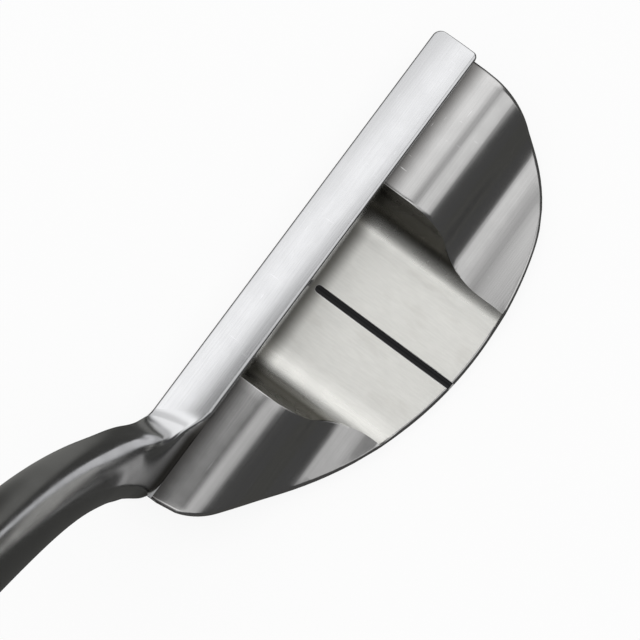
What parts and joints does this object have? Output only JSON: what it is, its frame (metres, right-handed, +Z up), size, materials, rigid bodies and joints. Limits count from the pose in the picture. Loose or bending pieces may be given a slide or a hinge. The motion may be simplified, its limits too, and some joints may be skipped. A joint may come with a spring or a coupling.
{
  "type": "golf putter",
  "caption": "Right-handed half-moon golf putter with a milled steel head, flow neck, stepped steel shaft and rubber pistol grip.",
  "frame": {"origin": "on the flat of the sole, on the ground, in the plane of the sight line", "axes": "-X to the toe, +X to the heel, -Y the way the ball goes, +Y to the back of the head, +Z up"},
  "size_m": [0.3827, 0.0591, 0.8194],
  "materials": {
    "head_steel": "satin milled stainless steel",
    "neck_steel": "satin polished stainless steel",
    "line_paint": "gloss black paint",
    "shaft_chrome": "bright chrome plate",
    "epoxy": "cured epoxy",
    "tape": "double-sided paper tape",
    "grip_rubber": "moulded matt rubber with fine grooves",
    "cap_rubber": "smooth moulded rubber"
  },
  "bodies": {
    "root": {"head_body": "head_steel", "flow_neck": "neck_steel", "sight_line_fill": "line_paint", "shaft": "shaft_chrome", "shaft_epoxy": "epoxy", "grip_tape": "tape", "grip": "grip_rubber", "grip_cap": "cap_rubber"}
  },
  "joints": []
}
